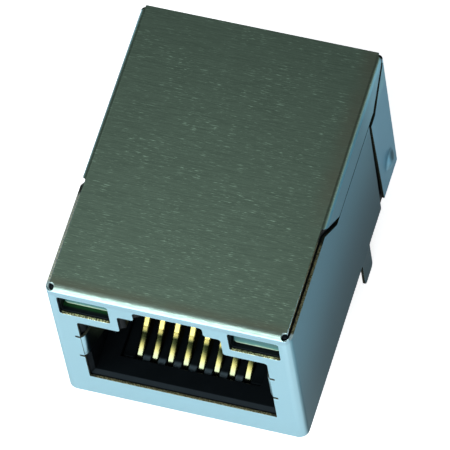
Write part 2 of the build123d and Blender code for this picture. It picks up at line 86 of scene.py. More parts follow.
class Finish:
    """A node material under construction: its tree, its shader and its place coordinates."""

    def __init__(self, name):
        self.material = bpy.data.materials.new(name)
        self.material.use_nodes = True
        self.tree = self.material.node_tree
        self.shader = self.tree.nodes["Principled BSDF"]
        self.place = self.add("ShaderNodeTexCoord").outputs["Object"]
        self.geometry = self.add("ShaderNodeNewGeometry")

    def add(self, kind):
        """Add a node of a kind."""
        return self.tree.nodes.new(kind)

    def feed(self, socket, value):
        """Link a socket's input, or set it where the value is plain."""
        if isinstance(value, bpy.types.NodeSocket):
            self.tree.links.new(value, socket)
        else:
            socket.default_value = value

    def sum(self, operation, first, second=0.0, third=0.0):
        """Work out a number from up to three others."""
        made = self.add("ShaderNodeMath")
        made.operation = operation
        for socket, value in zip(made.inputs, (first, second, third)):
            self.feed(socket, value)
        return made.outputs[0]

    def ramp(self, value, start, end, low=0.0, high=1.0):
        """Turn a number that runs from start to end into one that runs smoothly from low to high."""
        made = self.add("ShaderNodeMapRange")
        made.interpolation_type = "SMOOTHSTEP"
        for name, part in (("Value", value), ("From Min", start), ("From Max", end),
                           ("To Min", low), ("To Max", high)):
            self.feed(made.inputs[name], part)
        return made.outputs["Result"]

    def zone(self, *edges):
        """Give one inside a region and nought outside, from numbers and the edges where each changes."""
        share = 1.0
        for value, edge in edges:
            share = self.sum("MULTIPLY", self.ramp(value, *edge), share)
        return share

    def blend(self, share, first, second):
        """Mix two colours."""
        made = self.add("ShaderNodeMix")
        made.data_type = "RGBA"
        self.feed(made.inputs["Factor"], share)
        self.feed(made.inputs["A"], first)
        self.feed(made.inputs["B"], second)
        return [out for out in made.outputs if out.type == "RGBA"][0]

    def axes(self, vector):
        """Split a vector into its three numbers."""
        made = self.add("ShaderNodeSeparateXYZ")
        self.feed(made.inputs[0], vector)
        return made.outputs

    def noise(self, grain, detail=3.0, offset=(0.0, 0.0, 0.0)):
        """Give noise whose grain is so many metres long, the same or one length for each axis."""
        lengths = grain if isinstance(grain, tuple) else (grain, grain, grain)
        placed = self.add("ShaderNodeMapping")
        self.feed(placed.inputs["Vector"], self.place)
        placed.inputs["Scale"].default_value = [1.0 / length for length in lengths]
        placed.inputs["Location"].default_value = offset
        made = self.add("ShaderNodeTexNoise")
        self.feed(made.inputs["Vector"], placed.outputs["Vector"])
        made.inputs["Scale"].default_value = 1.0
        made.inputs["Detail"].default_value = detail
        made.inputs["Roughness"].default_value = 0.55
        return made.outputs["Fac"]

    def relief(self, height, depth, strength=1.0):
        """Raise the surface by a height between nought and one, so many metres deep."""
        made = self.add("ShaderNodeBump")
        made.inputs["Distance"].default_value = depth
        made.inputs["Strength"].default_value = strength
        self.feed(made.inputs["Height"], height)
        self.feed(self.shader.inputs["Normal"], made.outputs["Normal"])

    def set(self, **values):
        """Set the shader's own sockets, named in lower case with underscores."""
        for name, value in values.items():
            self.feed(self.shader.inputs[name.replace("_", " ").title()], value)


# Meshes

def piece_from(bm, name, *materials):
    """Make an object from a bmesh, with its materials, and free the bmesh."""
    mesh = bpy.data.meshes.new(name)
    bm.to_mesh(mesh)
    bm.free()
    for material in materials:
        mesh.materials.append(material)
    made = bpy.data.objects.new(name, mesh)
    bpy.context.scene.collection.objects.link(made)
    return made


def seat(made, node):
    """Let a piece ride on the body and stand for its node, whose own mesh is hidden."""
    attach(made, BODY)
    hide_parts(node)


def welded(node, sheet=0.0):
    """Copy a node's mesh, with its corners welded and its flat faces made whole.

    Where a sheet's thickness is given, the faces that cut through the sheet take the second material.
    """
    bm = bmesh.new()
    bm.from_mesh(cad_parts[node].data)
    bmesh.ops.remove_doubles(bm, verts=bm.verts, dist=WELD_REACH)
    if sheet:
        mark_cut_faces(bm, sheet)
    bmesh.ops.dissolve_limit(
        bm, angle_limit=FLAT_TURN, verts=bm.verts, edges=bm.edges,
        use_dissolve_boundaries=False, delimit={"MATERIAL"},
    )
    return bm


def soften(bm, width, segments=2, sharpest=SHARP_TURN):
    """Round the edges of a mesh that turn by more than an angle."""
    edges = [edge for edge in bm.edges if len(edge.link_faces) == 2 and edge.calc_face_angle() > sharpest]
    bmesh.ops.bevel(
        bm, geom=edges, offset=width, offset_type="OFFSET", segments=segments, profile=0.5,
        affect="EDGES", clamp_overlap=False, material=-1,
    )


def smooth(made, crease=SHARP_TURN):
    """Shade a piece smooth, with its flat faces kept flat."""
    for face in made.data.polygons:
        face.use_smooth = True
    made.data.set_sharp_from_angle(angle=crease)
    keep = made.modifiers.new("Keep flats flat", "WEIGHTED_NORMAL")
    keep.mode = "FACE_AREA"
    keep.weight = 100
    keep.keep_sharp = True


def mark_cut_faces(bm, sheet):
    """Give the second material to faces with more metal behind them than the sheet is thick."""
    tree = BVHTree.FromBMesh(bm)
    skip = sheet * 0.02
    thickest = sheet * 1.6
    for face in bm.faces:
        face.normal_update()
        start = face.calc_center_median() - face.normal * skip
        depth = tree.ray_cast(start, -face.normal)[3]
        face.material_index = 1 if depth is None or depth > thickest else 0


# Sheet metal

# Each pair says where a change of finish, or of painted light and shade, starts and where it is full: on
# normals, then on places.
FACES_UP = (0.50, 0.80)
FACES_FRONT = (-0.22, -0.75)
FACES_BACK = (0.3, 0.8)
FACES_ASIDE = (0.3, 0.7)
LIES_FLAT = (0.84, 0.96)
TURNS_DOWN = (0.995, 0.88)
BRUSHED_PART = (0.6, 0.9)
FRONT_BEND = (-10 * MM, -10.3 * MM)
BROW = (12.5 * MM, 12.9 * MM)
TARNISHED_REAR = (-5 * MM, 1 * MM)
SIDE_SHADE_RISE = (1 * MM, 12.5 * MM)
FLAP_FOOT = (10.3 * MM, 10.9 * MM)
FLAP_REAR = (4 * MM, 9 * MM)
BEHIND_FACE = (-10.65 * MM, -10.35 * MM)
BETWEEN_FINGERS = (6.25 * MM, 6.1 * MM)
FINGER_END = (-6 * MM, -7 * MM)
FINGER_INSIDE = (5.7 * MM, 5.8 * MM)
FINGER_OUTSIDE = (7.3 * MM, 7.2 * MM)
FINGER_TOP = (9.6 * MM, 9.5 * MM)
FACE_SHEET = (-10.3 * MM, -10.6 * MM)
WALL_SIDE = (7.3 * MM, 7.5 * MM)
WALL_TOP = (9 * MM, 10 * MM)
RIGHT_HALF = (-1 * MM, 1 * MM)
BEHIND_NOTCH = (-3.9 * MM, -3.5 * MM)
CORNER_FRONT = (-10 * MM, -10.2 * MM)
CORNER_TOP = (12.3 * MM, 12.5 * MM)
BURR_GLINT_RISE = (4 * MM, 9 * MM)

# Shares of the panel's colour, the parts of its noise that show, and how far in its tarnish runs.
PANEL_SHARES = (0.84, 1.04, 3.0)
STREAK_CONTRAST = (0.35, 0.65)
SPECK_PEAKS = (0.57, 0.72)
SPECK_CLUSTERS = (0.35, 0.68)
TARNISH_CLOUDS = (0.25, 0.6, 0.5, 1.0)
PANEL_CLOUDS = (2.4 * MM, 1.1 * MM, 2.0 * MM)
TARNISH_FRONT_RUN = 0.75 * MM
TARNISH_SIDE_RUN = 1.3 * MM

# Each spot of a dimple, painted shade above its middle and a painted highlight below it: its rise over
# the middle, its reach, its share and its colour.
DIMPLE_SPOTS = (
    (0.35 * MM, 0.60 * MM, 0.75, "dimple_shade"),
    (-0.40 * MM, 0.35 * MM, 0.6, "dimple_light"),
)


class SheetSettings(bpy.types.PropertyGroup):
    """Sizes and colours of the folded sheet, with its painted light and shade."""

    thickness: bpy.props.FloatProperty(
        name="Sheet", description="Thickness of the folded sheet", default=0.2 * MM, unit="LENGTH")
    edge_round: bpy.props.FloatProperty(
        name="Edge rounding", description="Rounding left on the cut edges", default=0.03 * MM,
        unit="LENGTH")
    panel_colour: bpy.props.FloatVectorProperty(
        name="Top panel", description="Plating of the brushed top panel", subtype="COLOR",
        default=(0.178, 0.257, 0.191))
    front_colour: bpy.props.FloatVectorProperty(
        name="Front", description="Plating of the front face", subtype="COLOR",
        default=(0.512, 0.79, 0.885))
    # The highlight along the top front bend comes from the front lamp; this mottled colour there sets its
    # brightness and tone, as painted highlight.
    bend_highlight_colour: bpy.props.FloatVectorProperty(
        name="Front bend", description="Plating stretched over the top front bend", subtype="COLOR",
        default=(0.42, 0.59, 0.55))
    # Painted shade: a darker band on the front face just under its top bend.
    brow_shade_colour: bpy.props.FloatVectorProperty(
        name="Brow", description="Plating of the front face just under its top bend", subtype="COLOR",
        default=(0.45, 0.69, 0.79))
    # Painted shade: the side walls take a darker copy of the front's plating, for the shadowed floor they
    # mirror.
    side_shade_colour: bpy.props.FloatVectorProperty(
        name="Sides", description="Plating of the side walls near the top", subtype="COLOR",
        default=(0.114, 0.292, 0.375))
    # Painted shade: the side walls run darker towards the board.
    foot_shade_and_highlight_colour: bpy.props.FloatVectorProperty(
        name="Foot of the sides", description="Duller plating of the side walls near the board",
        subtype="COLOR", default=(0.034, 0.090, 0.113))
    # Painted light: the rear ends of the top flaps are painted lighter than the side walls.
    flap_light_colour: bpy.props.FloatVectorProperty(
        name="Flaps", description="Plating of the rear ends of the top flaps", subtype="COLOR",
        default=(0.29, 0.60, 0.71))
    # The rear cover's own plating, made lighter than the shell's sides: painted light for the brighter
    # floor that its wings mirror.
    rear_plating_and_light_colour: bpy.props.FloatVectorProperty(
        name="Rear cover", description="Plating of the rear cover", subtype="COLOR",
        default=(0.23, 0.50, 0.65))
    back_colour: bpy.props.FloatVectorProperty(
        name="Back", description="Plating of the back of the rear cover", subtype="COLOR",
        default=(0.33, 0.47, 0.53))
    edge_colour: bpy.props.FloatVectorProperty(
        name="Panel edges", description="Tarnish beside the bends of the top panel", subtype="COLOR",
        default=(0.175, 0.195, 0.14))
    # Painted shade: the plating inside the mouth, on the spring fingers, is painted dark.
    mouth_shade_colour: bpy.props.FloatVectorProperty(
        name="Fingers", description="Dull skin of the spring fingers inside the mouth", subtype="COLOR",
        default=(0.035, 0.045, 0.05))
    grazing_tint: bpy.props.FloatVectorProperty(
        name="Grazing tint", description="Tint of the plating where it is seen nearly edge-on",
        subtype="COLOR", default=(0.75, 0.85, 0.87))
    cut_colour: bpy.props.FloatVectorProperty(
        name="Cut edge", description="Bare alloy on the cut edges", subtype="COLOR",
        default=(0.70, 0.68, 0.38))
    opening_colour: bpy.props.FloatVectorProperty(
        name="Sides of openings", description="Shaded cut edges at the sides of the openings",
        subtype="COLOR", default=(0.03, 0.04, 0.045))
    # Painted shade on the cut edges of the spring fingers inside the mouth.
    finger_cut_colour: bpy.props.FloatVectorProperty(
        name="Finger edges", description="Cut edges of the spring fingers", subtype="COLOR",
        default=(0.10, 0.11, 0.08))
    # Painted light and shade: the cut top of the walls is painted lit on the left and shaded on the
    # right.
    left_rim_light_colour: bpy.props.FloatVectorProperty(
        name="Left rim", description="Cut top of the left wall", subtype="COLOR",
        default=(0.62, 0.70, 0.66))
    right_rim_shade_colour: bpy.props.FloatVectorProperty(
        name="Right rim", description="Cut top of the right wall", subtype="COLOR",
        default=(0.10, 0.10, 0.06))
    # Painted shade on the cut edges in the gaps towards the rear.
    gap_shade_colour: bpy.props.FloatVectorProperty(
        name="Rear gaps", description="Cut edges in the gaps towards the rear", subtype="COLOR",
        default=(0.02, 0.025, 0.02))
    # Painted light: the cut edges of the holes at the top front corners lie in shade and are painted
    # pale.
    corner_light_colour: bpy.props.FloatVectorProperty(
        name="Corner holes", description="Cut edges of the holes at the top front corners",
        subtype="COLOR", default=(0.60, 0.75, 0.75))
    dimple_shade: bpy.props.FloatVectorProperty(
        name="Dimple shade", description="Shaded upper part of the dimples", subtype="COLOR",
        default=(0.03, 0.04, 0.045))
    dimple_light: bpy.props.FloatVectorProperty(
        name="Dimple light", description="Bright lower part of the dimples", subtype="COLOR",
        default=(0.55, 0.80, 0.88))
    streak_length: bpy.props.FloatProperty(
        name="Streak length", description="Length of the brush marks across the panel",
        default=0.60 * MM, unit="LENGTH")
    streak_width: bpy.props.FloatProperty(
        name="Streak width", description="Width of one brush mark", default=0.06 * MM, unit="LENGTH")
    dimple_place: bpy.props.FloatVectorProperty(
        name="Dimple", description="Middle of the dimple on each wing, along Y and Z", size=2,
        default=(8.6 * MM, 2.7 * MM))
    panel_front: bpy.props.FloatProperty(
        name="Panel front", description="Where the flat of the top panel starts, along Y",
        default=-10.3 * MM, unit="LENGTH")
    panel_side: bpy.props.FloatProperty(
        name="Panel side", description="Half the width of the flat of the top panel",
        default=7.55 * MM, unit="LENGTH")


def dimple_spot(made, place, middle, rise, reach, share):
    """Give a round spot above or below the middle of the dimples, so many metres wide."""
    along = made.sum("SUBTRACT", place["Y"], middle[0] + rise / 2)
    up = made.sum("SUBTRACT", place["Z"], middle[1] + rise)
    square = made.sum("ADD", made.sum("MULTIPLY", along, along), made.sum("MULTIPLY", up, up))
    return made.ramp(made.sum("SQRT", square), reach, 0.3 * reach, 0.0, share)


def brushed_panel(made, settings, normal, place, marks, scratches):
    """Colour the top panel: scratched plating with bright specks, tarnish, and on the front bend a
    mottled colour that sets the tone of the lamp's highlight, as painted highlight.
    """
    clouds = made.noise(PANEL_CLOUDS)
    wear_and_light_rise, brushed, speck = [
        colour_of([share * c for c in settings.panel_colour]) for share in PANEL_SHARES]
    plating = made.blend(made.ramp(scratches, *STREAK_CONTRAST), wear_and_light_rise, brushed)
    clusters = made.sum("MULTIPLY_ADD", made.ramp(clouds, *SPECK_CLUSTERS), 0.65, 0.25)
    specks = made.sum("MULTIPLY", made.ramp(marks, *SPECK_PEAKS), clusters)
    top = made.blend(specks, plating, speck)
    near_front = made.ramp(place["Y"], settings.panel_front + TARNISH_FRONT_RUN, settings.panel_front)
    beside = (settings.panel_side - TARNISH_SIDE_RUN, settings.panel_side)
    near_side = made.zone((place["X"], beside), (place["Y"], TARNISHED_REAR))
    tarnish = made.sum("MULTIPLY", made.sum("MAXIMUM", near_front, near_side),
                       made.ramp(clouds, *TARNISH_CLOUDS))
    tarnish = made.sum("MULTIPLY", tarnish, made.ramp(normal["Z"], *LIES_FLAT))
    top = made.blend(made.sum("MULTIPLY", tarnish, 0.8), top, colour_of(settings.edge_colour))
    # Painted highlight: the upper part of the top front bend takes a mottled colour of its own that sets
    # how bright the lamp's highlight there looks.
    bend_highlight = made.zone((normal["Z"], TURNS_DOWN), (place["Y"], FRONT_BEND))
    bend_highlight = made.sum("MULTIPLY", bend_highlight, made.ramp(marks, *STREAK_CONTRAST, 0.3, 0.7))
    return made.blend(bend_highlight, top, colour_of(settings.bend_highlight_colour))


def plated_finish(settings, name, foot, high):
    """Satin plating: brushed on top and pale in front, with painted shade down the sides, deeper towards
    the board, in a band under the top bend and inside the mouth, and painted light and shade on the flaps
    and dimples.
    """
    made = Finish(name)
    normal = made.axes(made.geometry.outputs["Normal"])
    place = made.axes(made.place)
    length, width = settings.streak_length, settings.streak_width
    marks = made.noise((length, width, width * 2))
    scratches = made.noise((length * 2.5, width * 0.7, width), detail=2.0, offset=(3.1, 1.7, 0.4))
    top = brushed_panel(made, settings, normal, place, marks, scratches)
    # Painted shade: the sides run from the high colour at the top to the foot colour at the board.
    side = made.blend(made.ramp(place["Z"], *SIDE_SHADE_RISE), colour_of(foot), colour_of(high))
    # Painted light on the rear ends of the flaps.
    flap_light = made.zone((place["Z"], FLAP_FOOT), (place["Y"], FLAP_REAR))
    side = made.blend(flap_light, side, colour_of(settings.flap_light_colour))
    side = made.blend(made.ramp(normal["Y"], *FACES_BACK), side, colour_of(settings.back_colour))
    # Painted shade and painted highlight on the dimples.
    for rise, reach, share, colour in DIMPLE_SPOTS:
        spot = dimple_spot(made, place, settings.dimple_place, rise, reach, share)
        side = made.blend(spot, side, colour_of(getattr(settings, colour)))
    # Painted shade: a darker band on the front under the top bend.
    brow_shade = made.ramp(place["Z"], *BROW)
    front = made.blend(brow_shade, colour_of(settings.front_colour), colour_of(settings.brow_shade_colour))
    wall = made.blend(made.ramp(normal["Y"], *FACES_FRONT), side, front)
    aside = made.sum("ABSOLUTE", place["X"])
    # Painted shade inside the mouth.
    mouth_shade = made.zone((aside, BETWEEN_FINGERS), (place["Y"], BEHIND_FACE), (place["Y"], FINGER_END))
    wall = made.blend(mouth_shade, wall, colour_of(settings.mouth_shade_colour))
    faces_up = made.ramp(normal["Z"], *FACES_UP)
    made.set(
        base_color=made.blend(faces_up, wall, top),
        metallic=1.0,
        roughness=made.sum("MULTIPLY_ADD", faces_up, 0.11, 0.31),
        specular_tint=colour_of(settings.grazing_tint),
    )
    grain = made.sum("MULTIPLY", made.sum("ADD", marks, scratches), made.ramp(normal["Z"], *BRUSHED_PART))
    made.relief(grain, 0.008 * MM, 0.6)
    return made.material


def cut_finish(settings, name, burr_glint_share):
    """Bare alloy where the sheet was cut, rough and dark, with painted glints on its burrs that grow
    brighter towards the top; painted shade on the cut edges at the sides of the openings, in the gaps and
    on the spring fingers, painted light on the corner holes, and the cut tops of the walls painted lit on
    the left and shaded on the right.
    """
    made = Finish(name)
    place = made.axes(made.place)
    normal = made.axes(made.geometry.outputs["Normal"])
    aside = made.sum("ABSOLUTE", place["X"])
    grain = made.noise(0.10 * MM)
    # Painted glints: bright flecks on the burrs, brighter towards the top.
    wear_and_light_rise = made.ramp(place["Z"], *BURR_GLINT_RISE, 0.35, 1.0)
    burr_glints = made.sum("MULTIPLY", made.ramp(grain, 0.42, 0.62), made.sum("MULTIPLY", wear_and_light_rise, burr_glint_share))
    dark = colour_of([0.2 * c for c in settings.cut_colour])
    bright = colour_of([min(1.0, 1.4 * c) for c in settings.cut_colour])
    bare = made.blend(burr_glints, dark, bright)
    # Painted light and shade on the cut tops of the walls, lit on the left and shaded on the right.
    rim_light_and_shade = made.blend(made.ramp(place["X"], *RIGHT_HALF), colour_of(settings.left_rim_light_colour),
                     colour_of(settings.right_rim_shade_colour))
    openings = made.zone((place["Y"], FACE_SHEET), (made.sum("ABSOLUTE", normal["X"]), FACES_ASIDE))
    walls = made.zone((aside, WALL_SIDE), (place["Z"], WALL_TOP))
    gap_shade = made.zone((place["Y"], BEHIND_NOTCH))
    finger_shade = made.zone((aside, FINGER_INSIDE), (aside, FINGER_OUTSIDE), (place["Y"], FINGER_END),
                        (place["Z"], FINGER_TOP))
    corner_light = made.zone((place["Y"], CORNER_FRONT), (place["Z"], CORNER_TOP))
    # Painted shade at the sides of the openings, in the gaps and on the finger edges, painted light and
    # shade on the walls' tops, painted light on the corner holes.
    for zone, share, colour in (
        (openings, 1.0, colour_of(settings.opening_colour)),
        (walls, 0.65, rim_light_and_shade),
        (gap_shade, 0.9, colour_of(settings.gap_shade_colour)),
        (finger_shade, 1.0, colour_of(settings.finger_cut_colour)),
        (corner_light, 1.0, colour_of(settings.corner_light_colour)),
    ):
        bare = made.blend(made.sum("MULTIPLY", zone, share), bare, colour)
    made.set(base_color=bare, metallic=1.0, roughness=0.62)
    made.relief(grain, 0.05 * MM, 1.0)
    return made.material


def folded_sheet(settings, node, name, plated, cut):
    """Dress one folded sheet: rounded cut edges, plating on its skins, bare alloy where it was cut."""
    bm = welded(node, settings.thickness)
    low, high = [[function(vert.co[axis] for vert in bm.verts) for axis in range(3)]
                 for function in (min, max)]
    soften(bm, settings.edge_round)
    for vert in bm.verts:
        vert.co = [min(max(co, least), most) for co, least, most in zip(vert.co, low, high)]
    made = piece_from(bm, name, plated, cut)
    smooth(made)
    seat(made, node)


class BOARDJACK_OT_sheet(bpy.types.Operator):
    """Dress the front shell and the rear cover."""

    bl_idname = "board_jack.sheet"
    bl_label = "Folded sheets"

    def execute(self, context):
        settings = context.scene.jack_sheet
        # The shell's sides run into painted shade towards the board; the rear cover's sides take its
        # lighter plating all over, partly painted light, with fainter painted glints on its cut edges.
        for node, name, foot, high, burr_glint_share in (
            ("shield_shell", "folded_shell", settings.foot_shade_and_highlight_colour, settings.side_shade_colour, 1.0),
            ("rear_shield", "folded_rear_cover", settings.rear_plating_and_light_colour, settings.rear_plating_and_light_colour, 0.45),
        ):
            plated = plated_finish(settings, "plated_" + node, foot, high)
            cut = cut_finish(settings, "cut_" + node, burr_glint_share)
            folded_sheet(settings, node, name, plated, cut)
        return {"FINISHED"}


# Moulded plastics

# Where the painted highlight on the comb's tips and the painted green light on the sill start and where
# they are full.
COMB_FRONT = (-8.5 * MM, -8.75 * MM)
COMB_SIDE = (3.7 * MM, 3.5 * MM)
SILL_REAR = (-10.42 * MM, -10.24 * MM)
SILL_SIDE = (-3.8 * MM, -4.0 * MM)
SILL_FOOT = (9.9 * MM, 10.1 * MM)
SILL_TOP = (10.8 * MM, 10.7 * MM)


class PlasticSettings(bpy.types.PropertyGroup):
    """Colours of the moulded plastics, with painted light on the sill and on the comb's tips."""

    housing_colour: bpy.props.FloatVectorProperty(
        name="Housing", description="Black of the moulded housing", subtype="COLOR",
        default=(0.0035, 0.005, 0.006))
    carrier_colour: bpy.props.FloatVectorProperty(
        name="Carrier", description="Black of the contact carrier and the inner tub", subtype="COLOR",
        default=(0.004, 0.006, 0.007))
    # Painted light: a pool of green light from the left indicator, painted on the sill.
    green_light_pool_colour: bpy.props.FloatVectorProperty(
        name="Lit sill", description="Green cast on the sill in front of the left light", subtype="COLOR",
        default=(0.008, 0.048, 0.013))
    # Painted highlight on the tips of the comb's teeth.
    tip_highlight_colour: bpy.props.FloatVectorProperty(
        name="Comb tips", description="Rubbed tips of the comb's teeth", subtype="COLOR",
        default=(0.08, 0.115, 0.135))
    grazing_tint: bpy.props.FloatVectorProperty(
        name="Grazing tint", description="Tint of the gloss on the plastics", subtype="COLOR",
        default=(0.62, 0.85, 1.0))
    edge_round: bpy.props.FloatProperty(
        name="Edge rounding", description="Rounding of moulded edges", default=0.035 * MM,
        unit="LENGTH")


def moulded_finish(settings, name, colour, roughness, gloss, painted_light=None, edges=()):
    """Moulded plastic with a faint spark-eroded grain, and painted light inside a region where given."""
    made = Finish(name)
    place = made.axes(made.place)
    axes = {"X": place["X"], "Y": place["Y"], "Z": place["Z"], "aside": made.sum("ABSOLUTE", place["X"])}
    grain = made.noise(0.05 * MM, detail=2.0)
    clouds = made.noise(1.4 * MM, detail=2.0)
    darker, paler = [colour_of([share * c for c in colour]) for share in (0.8, 1.25)]
    base = made.blend(clouds, darker, paler)
    if painted_light:
        share = made.zone(*[(axes[axis], edge) for axis, edge in edges])
        base = made.blend(share, base, colour_of(painted_light))
    made.set(
        base_color=base,
        roughness=made.ramp(clouds, 0.3, 0.7, roughness - 0.05, roughness + 0.05),
        specular_tint=colour_of(settings.grazing_tint),
    )
    made.shader.inputs["Specular IOR Level"].default_value = gloss
    made.relief(grain, 0.004 * MM, 0.5)
    return made.material


class BOARDJACK_OT_plastics(bpy.types.Operator):
    """Dress the housing, the contact carrier and the inner tub."""

    bl_idname = "board_jack.plastics"
    bl_label = "Moulded plastics"

    def execute(self, context):
        settings = context.scene.jack_plastic
        black = moulded_finish(
            settings, "housing_black", settings.housing_colour, 0.42, 0.08, settings.green_light_pool_colour,
            (("Y", SILL_REAR), ("X", SILL_SIDE), ("Z", SILL_FOOT), ("Z", SILL_TOP)))
        comb = moulded_finish(
            settings, "comb_black", settings.carrier_colour, 0.40, 0.16, settings.tip_highlight_colour,
            (("Y", COMB_FRONT), ("aside", COMB_SIDE)))
        tub = moulded_finish(settings, "tub_black", settings.carrier_colour, 0.42, 0.16)
        for node, name, slot, material in (
            ("housing", "moulded_housing", "housing_plastic", black),
            ("contact_carrier", "moulded_carrier", "carrier_plastic", comb),
            ("magnetics_case", "moulded_tub", "carrier_plastic", tub),
        ):
            bm = welded(node)
            soften(bm, settings.edge_round, segments=1, sharpest=MOULDED_TURN)
            made = piece_from(bm, name, material)
            smooth(made, crease=MOULDED_TURN)
            seat(made, node)
        return {"FINISHED"}


# Contacts

# Where the painted shade in front of the knee and the painted highlight on the nose start and where they
# are full.
KNEE_SHADE = (-7.1 * MM, -7.35 * MM)
SHADE_END = (-8.55 * MM, -7.55 * MM)
NOSE_HIGHLIGHT_RUN = (-7.9 * MM, -8.6 * MM)
DRAWING_GRAIN = (0.04 * MM, 0.9 * MM, 0.9 * MM)


class ContactSettings(bpy.types.PropertyGroup):
    """Plating and edges of the spring contacts, with painted shade in front of the knee and a painted
    highlight on the noses.
    """

    gold_colour: bpy.props.FloatVectorProperty(
        name="Gold", description="Gold plating of the contacts", subtype="COLOR",
        default=(0.50, 0.44, 0.14))
    edge_round: bpy.props.FloatProperty(
        name="Edge rounding", description="Rounding of the rolled wire's edges", default=0.096 * MM,
        unit="LENGTH")
    # The lamp's highlight falls on the noses; they take a colour of their own that sets its tone, as
    # painted highlight.
    nose_highlight_colour: bpy.props.FloatVectorProperty(
        name="Nose", description="Polished plating on the contacts' noses", subtype="COLOR",
        default=(0.26, 0.29, 0.175))
    # Painted shade on the gold in front of the knee.
    knee_shade_colour: bpy.props.FloatVectorProperty(
        name="Dull gold", description="Plating in front of the knee, seen in the shade", subtype="COLOR",
        default=(0.045, 0.055, 0.02))
    knee_place: bpy.props.FloatProperty(
        name="Knee", description="Where the contacts turn up, along Y", default=-7.3 * MM, unit="LENGTH")
    bow_run: bpy.props.FloatProperty(
        name="Bow run", description="Length of the bow in front of the knee", default=2.6 * MM,
        unit="LENGTH")
    bow_lead: bpy.props.FloatProperty(
        name="Bow lead", description="How far behind the knee the bow starts", default=0.3 * MM,
        unit="LENGTH")
    bow_lean: bpy.props.FloatProperty(
        name="Bow lean", description="How much the bow leans where it starts", default=0.10)
    bow_steepness: bpy.props.FloatProperty(
        name="Bow", description="How much further the bow leans over by its front end", default=0.185)


def gold_finish(settings):
    """Gold plating with fine drawing marks, on a strip that bows between its knee and its nose, with
    painted shade in front of the knee and a painted highlight on the nose.
    """
    made = Finish("gold_plating")
    marks = made.noise(DRAWING_GRAIN, detail=1.0)
    warm = colour_of(settings.gold_colour)
    pale = colour_of([min(1.0, 1.06 * c) for c in settings.gold_colour])
    along = made.axes(made.place)["Y"]
    shade_before_knee = made.zone((along, KNEE_SHADE), (along, SHADE_END))
    highlight_on_nose = colour_of(settings.nose_highlight_colour)
    gold_and_nose_highlight = made.blend(made.ramp(along, *NOSE_HIGHLIGHT_RUN), made.blend(marks, warm, pale), highlight_on_nose)
    made.set(
        base_color=made.blend(shade_before_knee, gold_and_nose_highlight, colour_of(settings.knee_shade_colour)),
        metallic=1.0,
        roughness=0.26,
    )
    past_knee = made.sum("SUBTRACT", settings.knee_place + settings.bow_lead, along)
    past_knee = made.sum("MINIMUM", made.sum("MAXIMUM", past_knee, 0.0), settings.bow_run)
    bow = made.sum("MULTIPLY_ADD", past_knee, -settings.bow_steepness / settings.bow_run,
                   settings.bow_lean)
    made.relief(made.sum("MULTIPLY", past_knee, bow), 1.0)
    return made.material


class BOARDJACK_OT_contacts(bpy.types.Operator):
    """Dress the spring contacts."""

    bl_idname = "board_jack.contacts"
    bl_label = "Spring contacts"

    def execute(self, context):
        settings = context.scene.jack_contact
        gold = gold_finish(settings)
        for number in range(1, 9):
            node = f"contact_{number}"
            bm = welded(node)
            soften(bm, settings.edge_round, segments=3, sharpest=WIRE_TURN)
            made = piece_from(bm, "spring_" + node, gold)
            smooth(made)
            seat(made, node)
        return {"FINISHED"}


# Indicator lights

LENS_CLOUDS = (0.7 * MM, 0.5 * MM, 0.4 * MM)


class LightSettings(bpy.types.PropertyGroup):
    """Colours of the indicator lights, with a painted highlight along the foot of each lens."""

    lens_colour: bpy.props.FloatVectorProperty(
        name="Lens", description="Tint of the moulded lens at its foot", subtype="COLOR",
        default=(0.19, 0.41, 0.35))
    crown_colour: bpy.props.FloatVectorProperty(
        name="Lens crown", description="Tint of the lens at its upper edge", subtype="COLOR",
        default=(0.06, 0.18, 0.20))
    # Painted highlight: a bright line along the lens's lower edge.
    foot_shade_and_highlight_colour: bpy.props.FloatVectorProperty(
        name="Lens foot line", description="Bright line along the lower edge of the lens",
        subtype="COLOR", default=(0.52, 0.70, 0.52))
    lens_foot: bpy.props.FloatProperty(
        name="Lens foot", description="Height of the lens's lower edge", default=10.67 * MM,
        unit="LENGTH")
    lens_height: bpy.props.FloatProperty(
        name="Lens height", description="Height of its tint", default=0.75 * MM, unit="LENGTH")
    lens_waver: bpy.props.FloatProperty(
        name="Lens waver", description="How far the tint wavers up and down", default=0.22 * MM,
        unit="LENGTH")
    line_foot: bpy.props.FloatProperty(
        name="Line full", description="Height over the lens's foot up to which the bright line is full",
        default=0.18 * MM, unit="LENGTH")
    line_top: bpy.props.FloatProperty(
        name="Line end", description="Height over the lens's foot where the bright line ends",
        default=0.30 * MM, unit="LENGTH")
    edge_round: bpy.props.FloatProperty(
        name="Edge rounding", description="Rounding of the lens", default=0.05 * MM, unit="LENGTH")


def lens_finish(settings):
    """Tinted translucent moulding, darker towards its crown, with a painted highlight line along its
    foot.
    """
    made = Finish("tinted_lens")
    foot = settings.lens_foot
    clouds = made.sum("SUBTRACT", made.noise(LENS_CLOUDS, detail=2.0), 0.5)
    height = made.sum("MULTIPLY_ADD", clouds, settings.lens_waver, made.axes(made.place)["Z"])
    rise = made.ramp(height, foot, foot + settings.lens_height)
    body = made.blend(rise, colour_of(settings.lens_colour), colour_of(settings.crown_colour))
    # Painted highlight along the lens's foot.
    line = made.ramp(height, foot + settings.line_top, foot + settings.line_foot)
    made.set(
        base_color=made.blend(line, body, colour_of(settings.foot_shade_and_highlight_colour)),
        roughness=0.22,
    )
    made.shader.inputs["Transmission Weight"].default_value = 0.25
    made.shader.inputs["IOR"].default_value = 1.5
    return made.material


